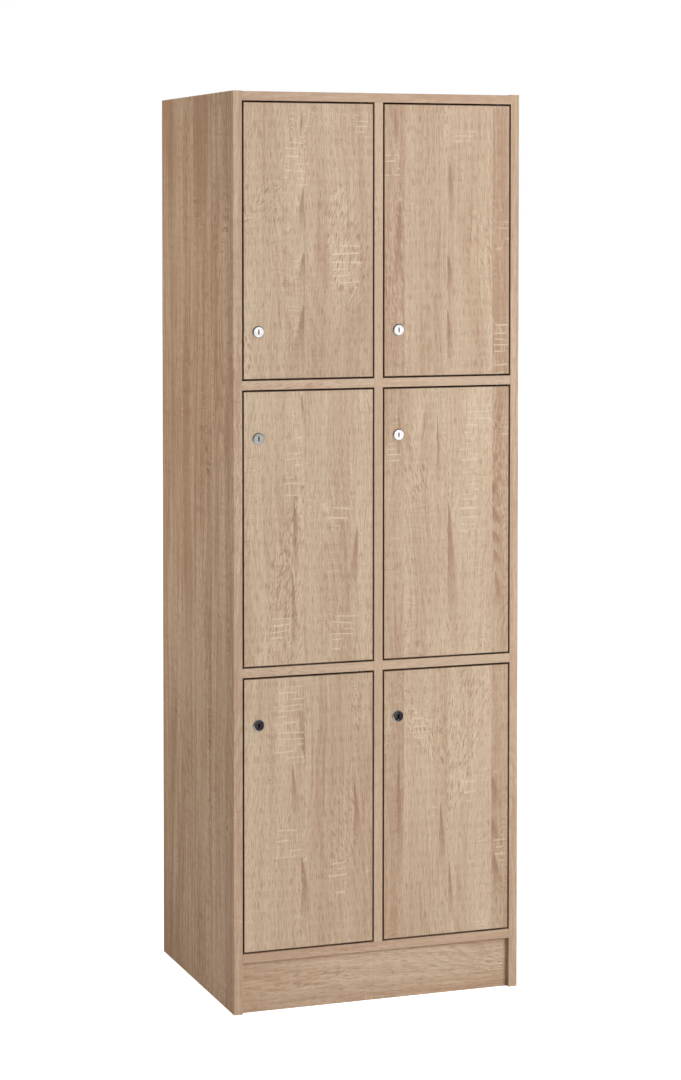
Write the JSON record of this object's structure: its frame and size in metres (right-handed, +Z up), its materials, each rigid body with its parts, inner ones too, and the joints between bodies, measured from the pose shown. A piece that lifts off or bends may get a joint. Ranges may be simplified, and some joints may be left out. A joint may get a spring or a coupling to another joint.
{
  "type": "coin operated locker",
  "caption": "Tall free-standing wooden locker with two columns of inset doors, each with a round key cylinder and a coin-return lock inside.",
  "frame": {"origin": "on the floor, under the middle of the bounding box", "axes": "+Z up, front with the doors facing -Y, +X to the right as seen from the front"},
  "size_m": [0.634, 0.518, 1.9],
  "materials": {
    "carcass_board": "oak-grain melamine on chipboard, matt",
    "door_board": "oak-grain melamine on chipboard, matt, upright grain",
    "back_board": "thin faced fibreboard, matt",
    "beech_dowel": "fluted beech, raw",
    "zinc_steel": "zinc-plated steel",
    "nickel_plate": "nickel-plated brass, bright",
    "lock_plastic": "black moulded nylon, fine texture",
    "nylon": "natural nylon"
  },
  "bodies": {
    "carcass": {"left_side_panel": "carcass_board", "right_side_panel": "carcass_board", "centre_partition": "carcass_board", "top_panel": "carcass_board", "bottom_panel": "carcass_board", "shelf_lower_left": "carcass_board", "shelf_lower_right": "carcass_board", "shelf_upper_left": "carcass_board", "shelf_upper_right": "carcass_board", "plinth_board": "carcass_board", "back_panel": "back_board", "frame_hinge_leaves": "zinc_steel", "hinge_pins": "zinc_steel", "hinge_washers": "lock_plastic", "strike_plates": "zinc_steel", "frame_screws": "zinc_steel", "panel_dowels": "beech_dowel", "door_stops": "nylon"},
    "door_top_left": {"door_panel_top_left": "door_board", "door_hinge_leaves_top_left": "zinc_steel", "lock_cylinder_top_left": "nickel_plate", "lock_case_top_left": "lock_plastic", "lock_cover_top_left": "lock_plastic"},
    "key_plug_top_left": {"key_plug_top_left": "nickel_plate"},
    "lock_bolt_top_left": {"lock_bolt_top_left": "zinc_steel"},
    "door_top_right": {"door_panel_top_right": "door_board", "door_hinge_leaves_top_right": "zinc_steel", "lock_cylinder_top_right": "nickel_plate", "lock_case_top_right": "lock_plastic", "lock_cover_top_right": "lock_plastic"},
    "key_plug_top_right": {"key_plug_top_right": "nickel_plate"},
    "lock_bolt_top_right": {"lock_bolt_top_right": "zinc_steel"},
    "door_middle_left": {"door_panel_middle_left": "door_board", "door_hinge_leaves_middle_left": "zinc_steel", "lock_cylinder_middle_left": "nickel_plate", "lock_case_middle_left": "lock_plastic", "lock_cover_middle_left": "lock_plastic"},
    "key_plug_middle_left": {"key_plug_middle_left": "nickel_plate"},
    "lock_bolt_middle_left": {"lock_bolt_middle_left": "zinc_steel"},
    "door_middle_right": {"door_panel_middle_right": "door_board", "door_hinge_leaves_middle_right": "zinc_steel", "lock_cylinder_middle_right": "nickel_plate", "lock_case_middle_right": "lock_plastic", "lock_cover_middle_right": "lock_plastic"},
    "key_plug_middle_right": {"key_plug_middle_right": "nickel_plate"},
    "lock_bolt_middle_right": {"lock_bolt_middle_right": "zinc_steel"},
    "door_bottom_left": {"door_panel_bottom_left": "door_board", "door_hinge_leaves_bottom_left": "zinc_steel", "lock_cylinder_bottom_left": "nickel_plate", "lock_case_bottom_left": "lock_plastic", "lock_cover_bottom_left": "lock_plastic"},
    "key_plug_bottom_left": {"key_plug_bottom_left": "nickel_plate"},
    "lock_bolt_bottom_left": {"lock_bolt_bottom_left": "zinc_steel"},
    "door_bottom_right": {"door_panel_bottom_right": "door_board", "door_hinge_leaves_bottom_right": "zinc_steel", "lock_cylinder_bottom_right": "nickel_plate", "lock_case_bottom_right": "lock_plastic", "lock_cover_bottom_right": "lock_plastic"},
    "key_plug_bottom_right": {"key_plug_bottom_right": "nickel_plate"},
    "lock_bolt_bottom_right": {"lock_bolt_bottom_right": "zinc_steel"}
  },
  "joints": [
    {"name": "door_hinge_top_left", "type": "hinge", "parent": "carcass", "child": "door_top_left", "pos_m": [-0.0375, -0.2465, 1.59383], "axis": [0, 0, 1], "range_deg": [0, 110]},
    {"name": "key_turn_top_left", "type": "hinge", "parent": "door_top_left", "child": "key_plug_top_left", "pos_m": [-0.263, -0.256, 1.40767], "axis": [0, 1, 0], "range_deg": [0, 90]},
    {"name": "bolt_slide_top_left", "type": "slide", "parent": "door_top_left", "child": "lock_bolt_top_left", "axis": [-1, 0, 0], "range_m": [0, 0.012]},
    {"name": "door_hinge_top_right", "type": "hinge", "parent": "carcass", "child": "door_top_right", "pos_m": [0.27, -0.2465, 1.59383], "axis": [0, 0, 1], "range_deg": [0, 110]},
    {"name": "key_turn_top_right", "type": "hinge", "parent": "door_top_right", "child": "key_plug_top_right", "pos_m": [0.0445, -0.256, 1.40767], "axis": [0, 1, 0], "range_deg": [0, 90]},
    {"name": "bolt_slide_top_right", "type": "slide", "parent": "door_top_right", "child": "lock_bolt_top_right", "axis": [-1, 0, 0], "range_m": [0, 0.012]},
    {"name": "door_hinge_middle_left", "type": "hinge", "parent": "carcass", "child": "door_middle_left", "pos_m": [-0.0375, -0.2465, 1.0025], "axis": [0, 0, 1], "range_deg": [0, 110]},
    {"name": "key_turn_middle_left", "type": "hinge", "parent": "door_middle_left", "child": "key_plug_middle_left", "pos_m": [-0.263, -0.256, 1.18867], "axis": [0, 1, 0], "range_deg": [0, 90]},
    {"name": "bolt_slide_middle_left", "type": "slide", "parent": "door_middle_left", "child": "lock_bolt_middle_left", "axis": [-1, 0, 0], "range_m": [0, 0.012]},
    {"name": "door_hinge_middle_right", "type": "hinge", "parent": "carcass", "child": "door_middle_right", "pos_m": [0.27, -0.2465, 1.0025], "axis": [0, 0, 1], "range_deg": [0, 110]},
    {"name": "key_turn_middle_right", "type": "hinge", "parent": "door_middle_right", "child": "key_plug_middle_right", "pos_m": [0.0445, -0.256, 1.18867], "axis": [0, 1, 0], "range_deg": [0, 90]},
    {"name": "bolt_slide_middle_right", "type": "slide", "parent": "door_middle_right", "child": "lock_bolt_middle_right", "axis": [-1, 0, 0], "range_m": [0, 0.012]},
    {"name": "door_hinge_bottom_left", "type": "hinge", "parent": "carcass", "child": "door_bottom_left", "pos_m": [-0.0375, -0.2465, 0.41117], "axis": [0, 0, 1], "range_deg": [0, 110]},
    {"name": "key_turn_bottom_left", "type": "hinge", "parent": "door_bottom_left", "child": "key_plug_bottom_left", "pos_m": [-0.263, -0.256, 0.59733], "axis": [0, 1, 0], "range_deg": [0, 90]},
    {"name": "bolt_slide_bottom_left", "type": "slide", "parent": "door_bottom_left", "child": "lock_bolt_bottom_left", "axis": [-1, 0, 0], "range_m": [0, 0.012]},
    {"name": "door_hinge_bottom_right", "type": "hinge", "parent": "carcass", "child": "door_bottom_right", "pos_m": [0.27, -0.2465, 0.41117], "axis": [0, 0, 1], "range_deg": [0, 110]},
    {"name": "key_turn_bottom_right", "type": "hinge", "parent": "door_bottom_right", "child": "key_plug_bottom_right", "pos_m": [0.0445, -0.256, 0.59733], "axis": [0, 1, 0], "range_deg": [0, 90]},
    {"name": "bolt_slide_bottom_right", "type": "slide", "parent": "door_bottom_right", "child": "lock_bolt_bottom_right", "axis": [-1, 0, 0], "range_m": [0, 0.012]}
  ],
  "couplings": [
    {"joint": "key_turn_top_left", "follows": "bolt_slide_top_left", "rad_per_m": 130.9},
    {"joint": "key_turn_top_right", "follows": "bolt_slide_top_right", "rad_per_m": 130.9},
    {"joint": "key_turn_middle_left", "follows": "bolt_slide_middle_left", "rad_per_m": 130.9},
    {"joint": "key_turn_middle_right", "follows": "bolt_slide_middle_right", "rad_per_m": 130.9},
    {"joint": "key_turn_bottom_left", "follows": "bolt_slide_bottom_left", "rad_per_m": 130.9},
    {"joint": "key_turn_bottom_right", "follows": "bolt_slide_bottom_right", "rad_per_m": 130.9}
  ]
}
